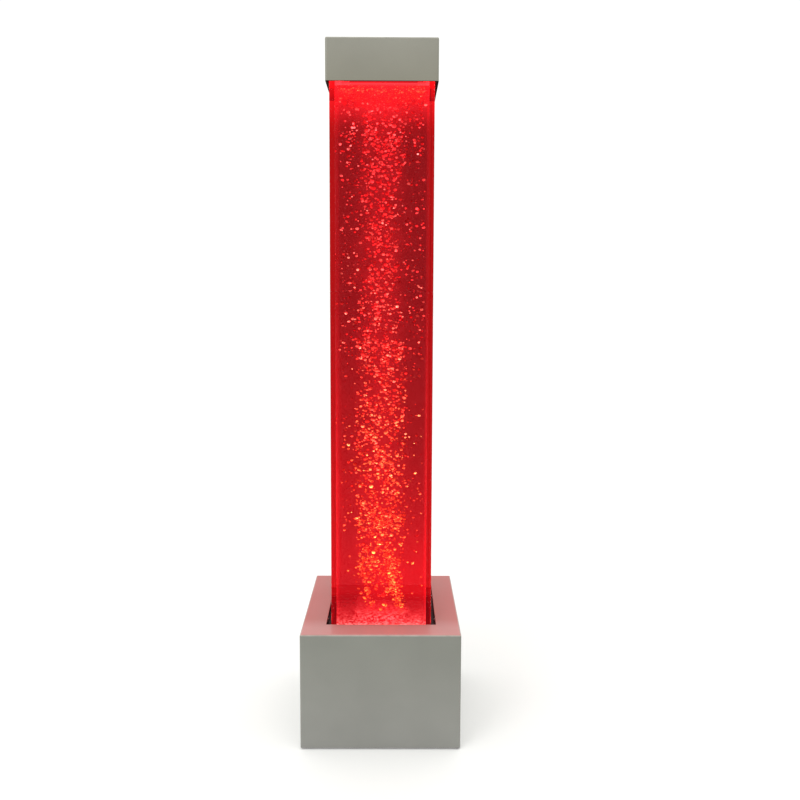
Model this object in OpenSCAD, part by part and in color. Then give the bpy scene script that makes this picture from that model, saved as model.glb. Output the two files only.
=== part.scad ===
// Bubble tube floor lamp: a square clear tank of water on a lit, air-fed base box, with a lift-off cap.
// Millimetres, +Z up. The origin is on the floor under the middle of the base box, and the front faces -Y.

/* [Base box] */
// Width and depth of the square base box
base_w = 314; // [312:1:322]
// Height of the base box's top face above the floor
base_h = 233; // [228:1:250]
// Thickness of the base box's sheet
shell_t = 5; // [4.5:0.5:5]
// Radius of the outer edges of the base box and the cap
edge_r = 4; // [2:0.5:4]
// Width of the square opening that the tank stands in
hole_w = 220; // [206:1:224]
// Gap between the base box's lower edge and the floor
skirt_gap = 3; // [2:0.5:4]

/* [Tank] */
// Outer width of the square tank
tank_w = 200; // [200:1:203]
// Height of the tank's sheets
tank_h = 1130; // [800:10:1800]
// Thickness of the tank's sheets
tank_t = 10; // [8:1:10]
// Thickness of the tank's floor
tank_floor_t = 12; // [10:1:15]
// How far the water stands below the cap's lower edge
water_drop = 2; // [1:1:20]

/* [Cap] */
// Outer width of the square cap
cap_w = 214; // [212:1:222]
// Height of the cap
cap_h = 80; // [70:1:100]
// Thickness of the cap's sheet
cap_t = 4; // [3:0.5:5]
// Height of the seats between the tank's rim and the cap's top sheet
seat_h = 25; // [18:1:30]

/* [Light and air] */
// Lights along each side of the light board
led_count = 6; // [4:1:6]
// Distance between neighbouring lights
led_pitch = 18; // [16:1:18]
// Rings of air holes around the one in the middle of the air chamber
air_ring_count = 3; // [2:1:3]
// Distance between neighbouring rings of air holes
air_ring_pitch = 16; // [14:1:16]
// Diameter of an air hole
air_hole_d = 1; // [0.6:0.1:1.5]
// Outer diameter of the air hose
air_hose_d = 6.4; // [6:0.1:7]

/* [Bubbles] */
// Rise from one bubble to the next
bubble_step = 3; // [3:0.5:5]
// Diameter of the largest bubbles
bubble_d = 8; // [5:0.5:8]

/* [Service bay] */
// Half width of the bay in the rear of the base box
bay_x = 88; // [86:1:90]
// Depth of the bay behind the base box's rear face
bay_d = 50; // [48:1:52]
// Width across the bay's outer flange
bay_flange_w = 200; // [196:1:206]

/* [Hidden] */
$fn = 48;
slack = 0.02;           // between a hose or ring and what fills it
run = 0.05;             // radial clearance of a turning fit

// Heights of the stack, from the floor up
foot_h = 5;
board_t = 8;
floor_top = foot_h + board_t;
platform_z = base_h - shell_t - 26;
platform_t = 5;
platform_top = platform_z + platform_t;
gasket_t = 3;
tank_z = platform_top + gasket_t;
water_z = tank_z + tank_floor_t;
tank_top = tank_z + tank_h;
cap_top_t = 5;
cap_top = tank_top + seat_h + cap_top_t;
cap_z = cap_top - cap_h;
water_top = cap_z - water_drop;

// Half widths
base_half = base_w / 2;
inner_half = base_half - shell_t;
tank_half = tank_w / 2;
tank_inner = tank_half - tank_t;
cap_half = cap_w / 2;
cap_inner = cap_half - cap_t;
platform_half = 125;
window_half = 55;

// Places in plan
block_w = 18;
block_at = inner_half - block_w / 2;
foot_at = 125;
post_at = 105;
bolt_long = 60;
bolt_out = (platform_half + tank_half) / 2;

// Light unit under the platform
tray_half = 64;
tray_z = platform_z - 21;
tray_t = 2.5;
tray_post_at = 57;
led_board_z = tray_z + 7;
led_board_t = 1.6;
led_board_half = 51;
led_cover_t = 3;

// Air chamber on the tank's floor, with an ear over the air inlet
chamber_r = 57;
chamber_h = 10;
chamber_t = 3;
chamber_top_t = 4;
inlet_x = -40;
inlet_y = 77;
ear_x = 15;
ear_y = tank_inner - 0.5;

// The bubbles' plume from its foot, share 0, to its head, share 1: how far it spreads, and where its middle drifts to
bubble_z = [water_z + chamber_h + bubble_d / 2 + 1.5, water_top - bubble_d / 2 - 1.5];
bubble_count = floor((bubble_z[1] - bubble_z[0]) / bubble_step);
plume_spread = [[0, 50], [0.35, 54], [0.55, 50], [0.66, 34], [0.8, 36], [0.92, 48], [1, 70]];
plume_drift = [[0, -3], [0.35, -4], [0.47, 2], [0.56, -12], [0.66, 0], [0.78, -10], [0.9, 5], [1, 0]];

// Drain outlet in the tank's floor, and the tap in the bay
drain_x = 42;
drain_y = 77;
tap_z = 60;
drain_bore_r = 4.5;
barb_r = 6;
hose_r = 8;

// Service bay
bay_wall = 2.5;
bay_z = [30, 104];
bay_back = base_half - bay_d;
bay_face = bay_back + bay_wall;
flange_t = 2.5;
flange_y = base_half - flange_t;
flange_z = [18, 116];
bay_screw_at = 94;
bay_screw_z = [24, 110];
vent_x = [-78, -50];
vent_z = 42;
vent_pitch = 8;
vent_count = 7;

// Ball of the drain tap
ball_y = bay_face + 12;
ball_r = 8;
seat_r = 8.6;
tap_end_y = bay_face + 22;
spigot_y = [tap_end_y + 2, flange_y - 1];
lever_len = 30;

// Rear controls
switch_x = -30;
switch_z = 80;
rocker_tilt = 10;
rocker_pivot_y = bay_face - 0.5;
button_x = -30;
button_z = 50;
jack_x = 0;
jack_z = 50;
controls_back = bay_back - 14;

// Air pump
pump_x = -18;
pump_y = -50;
pump_half = [33, 55];
pump_z = [floor_top + 4, 50, 71];
pump_t = 2.5;
arm_z = [35, 49];
arm_pivot_y = 44;
outlet_x = -22;
outlet_z = 42;
outlet_end = 66;
bellows_y = 20;

// Non-return valve, in line below the air inlet
check_z = 74;
check_h = 14;
check_r = 8;
air_bore_r = 1.2;
air_barb_r = 2;
bend_r = 20;

// Control box
control_x = [24, 100];
control_y = [-83, -27];
control_z = [floor_top, 35];
control_wall = 2;
control_lid_t = 3;

// Routes of the leads from the control box: to the light tray, pump, power inlet, switch and button
lead_r = 1.8;
lead_hole_r = 2.2;
tray_lead = [40, 20];
pump_lead = [-60, 24];
lead_routes = [
    [[76, -30, 28], [76, -24, 28], [76, -16, 28], [64, 14, 84], [40, 20, 165], [40, 20, 177], [40, 20, 189]],
    [[27, -60, 24], [12, -60, 24]],
    [[64, -30, 20], [64, -24, 20], [64, -16, 20], [34, 36, 22], [0, 79, 50], [0, 87, 50], [0, 95, 50]],
    [[50, -30, 27], [50, -24, 27], [50, -16, 27], [14, 36, 56], [-22, 80, 79], [-30, 89, 80], [-30, 92, 80],
     [-30, 95, 80]],
    [[34, -30, 20], [34, -24, 20], [34, -16, 20], [4, 36, 34], [-30, 79, 50], [-30, 87, 50], [-30, 95, 50]]
];
lead_steps = 3;

// ---- Shape helpers ----

// A block between two limits on each axis
module block(x, y, z)
    translate([x[0], y[0], z[0]])
        cube([x[1] - x[0], y[1] - y[0], z[1] - z[0]]);

// A block centred on the Z axis
module slab(half, z0, z1)
    block([-half, half], [-half, half], [z0, z1]);

// Rods along Z and Y, and a rod along X, from one end to the other
module rod_z(r, z0, z1)
    translate([0, 0, z0]) cylinder(r = r, h = z1 - z0);

module rod_y(r, y0, y1)
    translate([0, y0, 0]) rotate([-90, 0, 0]) cylinder(r = r, h = y1 - y0);

module rod_x(r, x0, x1)
    translate([x0, 0, 0]) rotate([0, 90, 0]) cylinder(r = r, h = x1 - x0);

// Its children in the four corners
module in_corners(at)
    for (sx = [-1, 1], sy = [-1, 1])
        translate([sx * at, sy * at, 0]) children();

// A row of points, evenly spaced about the middle
function spread(count, pitch) = [for (i = [0 : count - 1]) (i - (count - 1) / 2) * pitch];

// A square or rectangle with round corners
module round_rect(w, d, r) {
    square([w, d - 2 * r], center = true);
    square([w - 2 * r, d], center = true);
    for (sx = [-1, 1], sy = [-1, 1])
        translate([sx * (w / 2 - r), sy * (d / 2 - r)]) circle(r);
}

// The side outline of a box whose upper edges are round
module arch(w, z0, z1, r) {
    translate([-w / 2, z0]) square([w, z1 - z0 - r]);
    translate([-w / 2 + r, z0]) square([w - 2 * r, z1 - z0]);
    for (s = [-1, 1]) translate([s * (w / 2 - r), z1 - r]) circle(r);
}

// A square box with round upright edges and round upper edges
module soft_box(w, z0, z1, r)
    intersection() {
        translate([0, 0, z0]) linear_extrude(z1 - z0) round_rect(w, w, r);
        rotate([90, 0, 0]) linear_extrude(w + 2, center = true) arch(w, z0, z1, r);
        rotate([90, 0, 90]) linear_extrude(w + 2, center = true) arch(w, z0, z1, r);
    }

// A countersunk screw with a cross recess, head down at z = 0, and the hole that it sits in
module flush_screw(r, head_r, length) {
    slot = head_r * 0.3;
    difference() {
        union() {
            cylinder(r1 = head_r, r2 = r, h = head_r - r);
            cylinder(r = r, h = length);
        }
        for (a = [0, 90])
            rotate([0, 0, a]) translate([-head_r * 0.55, -slot / 2, -1]) cube([head_r * 1.1, slot, 1.9]);
    }
}

module flush_hole(r, head_r, length) {
    translate([0, 0, -0.01]) cylinder(r1 = head_r + 0.11, r2 = r, h = head_r - r + 0.11);
    cylinder(r = r, h = length);
}

// A pan-head screw, head down at z = 0
module pan_screw(r, head_r, head_h, length)
    difference() {
        union() {
            cylinder(r = head_r, h = head_h);
            cylinder(r = r, h = head_h + length);
        }
        translate([0, 0, -1]) cylinder(r = head_r * 0.45, h = 1 + head_h * 0.6, $fn = 6);
    }

// A hexagon nut on the Z axis
module hex_nut(r, bore_r, z0, z1)
    difference() {
        translate([0, 0, z0]) cylinder(r = r, h = z1 - z0, $fn = 6);
        rod_z(bore_r, z0 - 1, z1 + 1);
    }

// A tube swept along points, which ends square to its first and last steps
function unit(v) = v / norm(v);
function along(p, i) = unit(p[min(i + 1, len(p) - 1)] - p[max(i - 1, 0)]);
function side_of(t) = unit(cross(t, abs(t[2]) > 0.9 ? [1, 0, 0] : [0, 0, 1]));
function turned(v, t) = unit(v - (v * t) * t);
function sides_along(p, i = 0, v = undef, out = []) =
    i == len(p) ? out
    : let (now = i == 0 ? side_of(along(p, 0)) : turned(v, along(p, i)))
      sides_along(p, i + 1, now, concat(out, [now]));
function smooth(p, steps) = [
    for (i = [0 : len(p) - 2], k = [0 : steps - 1])
        let (t = k / steps, a = p[max(i - 1, 0)], b = p[i], c = p[i + 1], d = p[min(i + 2, len(p) - 1)])
        0.5 * (2 * b + (c - a) * t + (2 * a - 5 * b + 4 * c - d) * t * t
               + (3 * b - a - 3 * c + d) * t * t * t),
    p[len(p) - 1]
];

module swept(p, r, sides = 8) {
    n = len(p);
    across = sides_along(p);
    points = [for (i = [0 : n - 1], k = [0 : sides - 1])
        let (t = along(p, i), u = across[i], w = cross(t, u), a = 360 * k / sides)
        p[i] + r * (cos(a) * u + sin(a) * w)];
    walls = [for (i = [0 : n - 2], k = [0 : sides - 1])
        let (a = i * sides + k, b = i * sides + (k + 1) % sides)
        each [[a, a + sides, b], [b, a + sides, b + sides]]];
    start = [for (k = [1 : sides - 2]) [0, k, k + 1]];
    end = [for (k = [1 : sides - 2]) let (e = (n - 1) * sides) [e, e + k + 1, e + k]];
    polyhedron(points, concat(walls, start, end));
}

// ---- Base box ----

// The lacquered box: four sides and a top with the tank's opening, and the bay's cut-out behind
module base_shroud()
    color("#95958e") difference() {
        soft_box(base_w, skirt_gap, base_h, edge_r);
        slab(inner_half, skirt_gap - 1, base_h - shell_t);
        translate([0, 0, base_h - shell_t - 1]) linear_extrude(shell_t + 2) round_rect(hole_w, hole_w, 2);
        block([-bay_x - 0.3, bay_x + 0.3], [inner_half - 1, base_half + 1],
              [bay_z[0] - 0.3, bay_z[1] + 0.3]);
        block([-bay_flange_w / 2 - 0.2, bay_flange_w / 2 + 0.2], [flange_y, base_half + 1],
              [flange_z[0] - 0.2, flange_z[1] + 0.2]);
        at_bay_screws() rod_y(1.6, inner_half - 1, flange_y + 1);
    }

module at_bay_screws()
    for (sx = [-1, 1], z = bay_screw_z)
        translate([sx * bay_screw_at, 0, z]) children();

// The board that closes the box from below
module base_floor()
    color("#3c3c3c") difference() {
        slab(inner_half - 0.3, foot_h, floor_top);
        in_corners(block_at) translate([0, 0, foot_h]) flush_hole(2.1, 4, board_t + 1);
        in_corners(post_at) translate([0, 0, foot_h]) flush_hole(2.6, 5, board_t + 1);
        in_corners(foot_at) rod_z(1.95, foot_h - 1, floor_top - 1);
        for (y = spread(5, 12))
            translate([pump_x, pump_y + y, 0]) block([-22, 22], [-2, 2], [foot_h - 1, floor_top + 1]);
    }

// Blocks glued into the box's corners, which the floor is screwed to
module corner_blocks()
    color("#c9a878") in_corners(block_at)
        difference() {
            slab(block_w / 2, floor_top, floor_top + 40);
            rod_z(2.05, floor_top - 1, floor_top + 20);
        }

// Through the board into the corner blocks, and up through the feet into the board
module floor_screws()
    color("#a8abad") {
        in_corners(block_at) translate([0, 0, foot_h]) flush_screw(2, 4, 20);
        in_corners(foot_at) translate([0, 0, foot_h / 2 - 1.8]) pan_screw(1.9, 4, 1.8, 8.5);
    }

module rubber_feet()
    color("#222222") in_corners(foot_at)
        difference() {
            rod_z(16, 0, foot_h);
            rod_z(5, -1, foot_h / 2);
            rod_z(2.1, -1, foot_h + 1);
        }

// ---- Tank support ----

module platform_posts()
    color("#9a9da0") in_corners(post_at)
        difference() {
            rod_z(9, floor_top, platform_z);
            rod_z(2.55, floor_top - 1, platform_z + 1);
        }

module post_screws()
    color("#a8abad") in_corners(post_at) {
        translate([0, 0, foot_h]) flush_screw(2.5, 5, 18);
        translate([0, 0, platform_top]) mirror([0, 0, 1]) flush_screw(2.5, 5, 18);
    }

module at_bolts()
    for (s = [-1, 1], t = [-1, 1]) {
        translate([s * bolt_out, t * bolt_long, 0]) children();
        translate([t * bolt_long, s * bolt_out, 0]) children();
    }

// Holes that the two fittings in the tank's floor need below it
module fitting_holes(z0, z1) {
    translate([inlet_x, inlet_y, 0]) rod_z(10, z0, z1);
    translate([drain_x, drain_y, 0]) rod_z(12, z0, z1);
}

module tank_platform()
    color("#4a4d50") difference() {
        slab(platform_half, platform_z, platform_top);
        slab(window_half, platform_z - 1, platform_top + 1);
        fitting_holes(platform_z - 1, platform_top + 1);
        in_corners(post_at) translate([0, 0, platform_top]) mirror([0, 0, 1])
            flush_hole(2.6, 5, platform_t + 1);
        in_corners(tray_post_at) rod_z(1.55, platform_z - 1, platform_top - 1);
        at_bolts() rod_z(2.55, platform_z - 1, platform_top + 1);
    }

module tank_gasket()
    color("#2b2b2b") difference() {
        slab(platform_half, platform_top, tank_z);
        slab(window_half, platform_top - 1, tank_z + 1);
        fitting_holes(platform_top - 1, tank_z + 1);
        at_bolts() rod_z(2.8, platform_top - 1, tank_z + 1);
    }

// The ring glued round the foot of the tank, which the bolts hold down
module tank_flange()
    color("#1c1c1e") difference() {
        slab(platform_half, tank_z, tank_z + 10);
        slab(tank_half, tank_z - 1, tank_z + 11);
        at_bolts() rod_z(2.8, tank_z - 1, tank_z + 11);
    }

module flange_bolts()
    color("#a8abad") at_bolts()
        translate([0, 0, tank_z + 10]) {
            cylinder(r = 4.6, h = 3.5, $fn = 6);
            rod_z(2.5, -19, 1);
        }

// ---- Tank ----

module tank_sheet(x, y)
    color("#e6b0b0", 0.35) block(x, y, [tank_z, tank_top]);

module tank_front_wall()
    tank_sheet([-tank_half, tank_half], [-tank_half, -tank_inner]);

module tank_rear_wall()
    tank_sheet([-tank_half, tank_half], [tank_inner, tank_half]);

module tank_left_wall()
    tank_sheet([-tank_half, -tank_inner], [-tank_inner, tank_inner]);

module tank_right_wall()
    tank_sheet([tank_inner, tank_half], [-tank_inner, tank_inner]);

module tank_floor()
    color("#dfe8ea", 0.5) difference() {
        slab(tank_inner, tank_z, water_z);
        translate([inlet_x, inlet_y, 0]) rod_z(5.2, tank_z - 1, water_z + 1);
        translate([drain_x, drain_y, 0]) rod_z(7.2, tank_z - 1, water_z + 1);
    }

// The outer or inner outline of the air chamber, drawn in by a wall's thickness
module chamber_outline(inset) {
    circle(chamber_r - inset);
    translate([inlet_x - ear_x + inset, 0]) square([2 * (ear_x - inset), ear_y - inset]);
}

// A clear dish upside down on the tank's floor, whose top is drilled for the bubbles
module air_chamber()
    color("#e4eef0", 0.5) translate([0, 0, water_z]) difference() {
        linear_extrude(chamber_h) chamber_outline(0);
        translate([0, 0, -1]) linear_extrude(chamber_h - chamber_top_t + 1) chamber_outline(chamber_t);
        rod_z(air_hole_d / 2, 0, chamber_h + 1);
        for (ring = [1 : air_ring_count], i = [1 : 6 * ring])
            rotate([0, 0, i * 60 / ring]) translate([ring * air_ring_pitch, 0, 0])
                rod_z(air_hole_d / 2, 0, chamber_h + 1);
    }

module water()
    color("#c8141c", 0.6) difference() {
        slab(tank_inner, water_z, water_top);
        translate([0, 0, water_z - 1]) linear_extrude(chamber_h + 1) chamber_outline(0);
        translate([drain_x, drain_y, 0]) rod_z(11, water_z - 1, water_z + 4.5);
        bubbles();
    }

function after_point(x) = x - floor(x);

// Air on its way up from the chamber, in a plume that wavers and then spreads below the surface.
// Each bubble fills its own hollow in the water.
module bubbles()
    color("#ff8a6a", 0.8)
        for (i = [0 : bubble_count - 1])
            let (share = (i + 0.5) / bubble_count,
                 turn = 360 * after_point(0.7549 * i),
                 far = lookup(share, plume_spread) * sqrt(0.04 + 0.96 * after_point(0.5698 * i)))
            translate([lookup(share, plume_drift) + far * cos(turn), far * sin(turn),
                       bubble_z[0] + share * (bubble_z[1] - bubble_z[0])])
                sphere(r = bubble_d / 2 * (1 - 0.15 * (i % 3)), $fn = 24);

// ---- Fittings in the tank's floor ----

// A flange inside the tank, a threaded neck through its floor, and a hose spigot below
module bulkhead(flange_r, flange_h, neck_r, spigot_r, spigot_z, bore_r)
    difference() {
        union() {
            rod_z(flange_r, water_z + 1.5, water_z + 1.5 + flange_h);
            rod_z(neck_r, platform_z - 2, water_z + 2);
            rod_z(spigot_r, spigot_z, platform_z);
        }
        rod_z(bore_r, spigot_z - 1, water_z + flange_h + 2);
    }

module bulkhead_fittings()
    color("#e8e8e4") {
        translate([inlet_x, inlet_y, 0])
            bulkhead(9, 2.5, 5, air_barb_r, platform_z - 22, air_bore_r);
        translate([drain_x, drain_y, 0])
            bulkhead(11, 3, 7, barb_r, platform_z - 22, drain_bore_r);
    }

module bulkhead_seals()
    color("#cfd3d4") {
        translate([inlet_x, inlet_y, 0]) difference() {
            rod_z(8.5, water_z, water_z + 1.5);
            rod_z(5.1, water_z - 1, water_z + 2);
        }
        translate([drain_x, drain_y, 0]) difference() {
            rod_z(11, water_z, water_z + 1.5);
            rod_z(7.1, water_z - 1, water_z + 2);
        }
    }

module bulkhead_nuts()
    color("#e8e8e4") {
        translate([inlet_x, inlet_y, 0]) hex_nut(9, 5.05, tank_z - 6, tank_z);
        translate([drain_x, drain_y, 0]) hex_nut(11, 7.05, tank_z - 6, tank_z);
    }

// ---- Air line ----

module hose_z(outer_r, inner_r, z0, z1)
    difference() {
        rod_z(outer_r, z0, z1);
        rod_z(inner_r, z0 - 1, z1 + 1);
    }

// From the pump's spigot back and up to the non-return valve, and from there to the tank's inlet
module air_hoses()
    color("#dfe6e8", 0.7) {
        outer_r = air_hose_d / 2;
        inner_r = air_barb_r + slack;
        translate([inlet_x, 0, 0]) {
            translate([0, 0, outlet_z]) difference() {
                rod_y(outer_r, pump_y + pump_half[1] + 1, inlet_y - bend_r);
                rod_y(inner_r, pump_y, inlet_y);
            }
            translate([0, inlet_y - bend_r, outlet_z + bend_r])
                rotate([90, 0, 90]) rotate([0, 0, -90]) rotate_extrude(angle = 90)
                    translate([bend_r, 0]) difference() {
                        circle(outer_r);
                        circle(inner_r);
                    }
            translate([0, inlet_y, 0]) {
                hose_z(outer_r, inner_r, outlet_z + bend_r, check_z - 1);
                hose_z(outer_r, inner_r, check_z + check_h + 1, platform_z - 3);
            }
        }
    }

module check_valve_body()
    color("#f0f0f0") translate([inlet_x, inlet_y, check_z]) difference() {
        union() {
            rod_z(check_r, 0, 8);
            rod_z(air_barb_r, -10, 1);
        }
        rod_z(5, 3, 9);
        rod_z(air_bore_r, -11, 9);
    }

module check_valve_cap()
    color("#3a6ea8") translate([inlet_x, inlet_y, check_z]) difference() {
        union() {
            rod_z(check_r, 8, check_h);
            rod_z(air_barb_r, check_h - 1, check_h + 10);
        }
        rod_z(3.5, 7, 10.5);
        rod_z(air_bore_r, 7, check_h + 11);
    }

// The loose disc that lifts to let air up and drops to hold water back
module check_valve_poppet()
    color("#d8d8d8") translate([inlet_x, inlet_y, check_z]) {
        rod_z(4.5, 3, 5);
        for (a = [0, 90]) rotate([0, 0, a]) block([-2.5, 2.5], [-0.5, 0.5], [4.5, 9.3]);
    }

// ---- Air pump ----

module at_pump()
    translate([pump_x, pump_y, 0]) children();

module pump_case()
    color("#2e3032") at_pump() difference() {
        union() {
            difference() {
                block([-pump_half[0], pump_half[0]], [-pump_half[1], pump_half[1]], [pump_z[0], pump_z[1]]);
                block([-pump_half[0] + pump_t, pump_half[0] - pump_t],
                      [-pump_half[1] + pump_t, pump_half[1] - pump_t], [pump_z[0] + pump_t, pump_z[1] + 1]);
            }
            for (x = [-14.5, 14.5]) block([x - 2, x + 2], [-46, -16], [pump_z[0] + 1, 30]);
            translate([0, arm_pivot_y, 0]) rod_z(4, pump_z[0] + 1, arm_z[0] - 1);
        }
        translate([0, arm_pivot_y, 0]) rod_z(2, 26, 51);
        translate([outlet_x, 0, outlet_z]) rod_y(2.7, pump_half[1] - 5, pump_half[1] + 1);
        translate([0, pump_lead[0] - pump_y, pump_lead[1]])
            rod_x(lead_hole_r, pump_half[0] - pump_t - 1, pump_half[0] + 1);
    }

module pump_lid()
    color("#3a6ea8") at_pump() difference() {
        union() {
            difference() {
                block([-pump_half[0], pump_half[0]], [-pump_half[1], pump_half[1]], [pump_z[1], pump_z[2]]);
                block([-pump_half[0] + pump_t, pump_half[0] - pump_t],
                      [-pump_half[1] + pump_t, pump_half[1] - pump_t], [pump_z[1] - 1, pump_z[2] - pump_t]);
            }
            translate([0, arm_pivot_y, 0]) rod_z(4, arm_z[1] + 1, pump_z[2] - 1);
        }
        translate([0, arm_pivot_y, 0]) rod_z(2, 40, 59);
        for (x = spread(4, 10))
            block([x - 2, x + 2], [-34, 24], [pump_z[2] - 5, pump_z[2] + 1]);
    }

module pump_feet()
    color("#222222") at_pump()
        for (sx = [-1, 1], sy = [-1, 1])
            translate([sx * 24, sy * 40, 0]) rod_z(6, floor_top, pump_z[0]);

// The laminated iron, whose three legs point at the magnet
module pump_core()
    color("#6d6a66") at_pump() {
        block([-18, 18], [-50, -42], [30, 54]);
        for (x = [-14.5, 0, 14.5])
            block([x - 3.5, x + 3.5], [-43, -14], [30, 54]);
    }

module pump_coil()
    color("#b5652a") at_pump() difference() {
        block([-10, 10], [-41, -17], [24, 60]);
        block([-3.6, 3.6], [-42, -16], [29.9, 54.1]);
    }

module pump_pivot_pin()
    color("#b8babc") at_pump()
        translate([0, arm_pivot_y, 0]) rod_z(2, 26, 58.5);

module pump_arm()
    color("#e8e8e4") at_pump()
        translate([0, arm_pivot_y, 0]) difference() {
            union() {
                rod_z(5, arm_z[0], arm_z[1]);
                block([-1.5, 1.5], [-50, -4], arm_z);
                translate([0, bellows_y - arm_pivot_y, outlet_z]) rod_x(3, -4.2, 0);
            }
            rod_z(2 + run, arm_z[0] - 1, arm_z[1] + 1);
        }

module pump_magnet()
    color("#4c4c50") at_pump()
        translate([0, arm_pivot_y, 0]) block([-7, 7], [-56, -50], [34, 50]);

// The rubber cup between the arm's stud and the valve box
module pump_diaphragm()
    color("#26262a") at_pump()
        translate([-16, bellows_y, outlet_z]) rotate([0, 90, 0]) rotate_extrude()
            polygon([[0, 10], [0, 11.8], [5, 11.8], [7, 9], [6.2, 7], [9, 4.5], [8.4, 2.2], [11, 2],
                     [11, 0], [8, 0], [6.6, 2.2], [7, 4], [4.6, 6.6], [5.2, 8.6], [4, 10]]);

module pump_valve_box()
    color("#e8e8e4") at_pump() difference() {
        union() {
            block([-28, -16], [8, 32], [30, 54]);
            translate([outlet_x, 0, outlet_z]) rod_y(air_barb_r + 0.4, 31, pump_half[1] + 0.5);
            translate([outlet_x, 0, outlet_z]) rod_y(air_barb_r, 31, outlet_end);
        }
        translate([0, bellows_y, outlet_z]) rod_x(7.5, -19, -15);
        translate([outlet_x, 0, outlet_z]) rod_y(air_bore_r, bellows_y, outlet_end + 1);
        translate([0, bellows_y, outlet_z]) rod_x(air_bore_r, outlet_x, -18);
    }

// ---- Drain ----

module drain_hose()
    color("#dfe6e8", 0.7) translate([drain_x, drain_y, 0])
        hose_z(hose_r, barb_r + slack, tap_z + 12, platform_z - 4);

module at_tap()
    translate([drain_x, 0, tap_z]) children();

// Turns the hose's run back through the bay's wall, and clamps the tap to it
module drain_elbow()
    color("#e8e8e4") at_tap() difference() {
        union() {
            rod_y(9, drain_y, bay_back);
            translate([0, drain_y, 0]) sphere(9);
            translate([0, drain_y, 0]) rod_z(barb_r, 0, 32);
        }
        rod_y(7.05, bay_back - 14, bay_back + 1);
        rod_y(drain_bore_r, drain_y, bay_back);
        translate([0, drain_y, 0]) sphere(drain_bore_r);
        translate([0, drain_y, 0]) rod_z(drain_bore_r, 0, 33);
    }

module drain_valve_body()
    color("#f2f2ee") at_tap() difference() {
        union() {
            rod_y(11, bay_face, tap_end_y);
            rod_y(7, bay_back - 13.8, bay_face + 1);
            translate([0, ball_y, 0]) rod_z(5.5, 0, 13.5);
        }
        rod_y(seat_r, ball_y - 4, tap_end_y + 1);
        translate([0, ball_y, 0]) sphere(ball_r + run);
        rod_y(drain_bore_r, bay_back - 15, ball_y);
        translate([0, ball_y, 0]) rod_z(3 + run, 0, 14);
    }

// Screws into the tap and carries the plain spigot for a hose
module drain_spigot()
    color("#f2f2ee") at_tap() difference() {
        union() {
            rod_y(seat_r - run, ball_y + 4, tap_end_y);
            rod_y(11, tap_end_y, spigot_y[0]);
            rod_y(barb_r, tap_end_y, spigot_y[1]);
        }
        rod_y(drain_bore_r, ball_y, spigot_y[1] + 1);
        translate([0, ball_y, 0]) sphere(ball_r + run);
    }

// Closed at rest, with its bore across the flow and a slot on top for the lever's stem
module drain_ball()
    color("#c8ccd0") at_tap() translate([0, ball_y, 0]) difference() {
        sphere(ball_r);
        rod_x(drain_bore_r, -10, 10);
        block([-1.3, 1.3], [-9, 9], [5.8, 9]);
    }

module drain_lever()
    color("#c8202a") at_tap() translate([0, ball_y, 0]) {
        block([-1.2, 1.2], [-2.4, 2.4], [5.9, 9]);
        rod_z(3, 8.5, 18);
        rod_z(6, 14, 18);
        block([0, lever_len - 3.5], [-3.5, 3.5], [15, 18]);
        translate([lever_len - 3.5, 0, 0]) rod_z(3.5, 15, 18);
    }

// ---- Light unit ----

module led_tray()
    color("#b9bcbf") difference() {
        union() {
            difference() {
                slab(tray_half, tray_z, platform_z);
                slab(tray_half - tray_t, tray_z + 3, platform_z + 1);
            }
            in_corners(tray_post_at) rod_z(4.6, tray_z, platform_z);
            in_corners(40) rod_z(4, tray_z, led_board_z);
        }
        in_corners(tray_post_at) rod_z(1.6, tray_z - 1, platform_z + 1);
        translate([tray_lead[0], tray_lead[1], 0]) rod_z(lead_hole_r, tray_z - 1, tray_z + 4);
    }

module led_board()
    color("#f4f4f0") difference() {
        slab(led_board_half, led_board_z, led_board_z + led_board_t);
        translate([tray_lead[0], tray_lead[1], 0]) rod_z(lead_hole_r, led_board_z - 1, led_board_z + 3);
    }

module led_chips()
    color("#fff6d8")
        for (x = spread(led_count, led_pitch), y = spread(led_count, led_pitch))
            translate([x, y, led_board_z + led_board_t]) difference() {
                translate([-2.5, -2.5, 0]) cube([5, 5, 1.6]);
                rod_z(1.9, 1, 2);
            }

module led_cover()
    color("#e4eef0", 0.5) difference() {
        slab(tray_half - tray_t - 0.2, platform_z - led_cover_t, platform_z);
        in_corners(tray_post_at + 2) slab(7, platform_z - led_cover_t - 1, platform_z + 1);
    }

module led_tray_screws()
    color("#a8abad") in_corners(tray_post_at)
        translate([0, 0, tray_z - 2]) pan_screw(1.5, 3, 2, 24.5);

// ---- Service bay and rear controls ----

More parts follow.
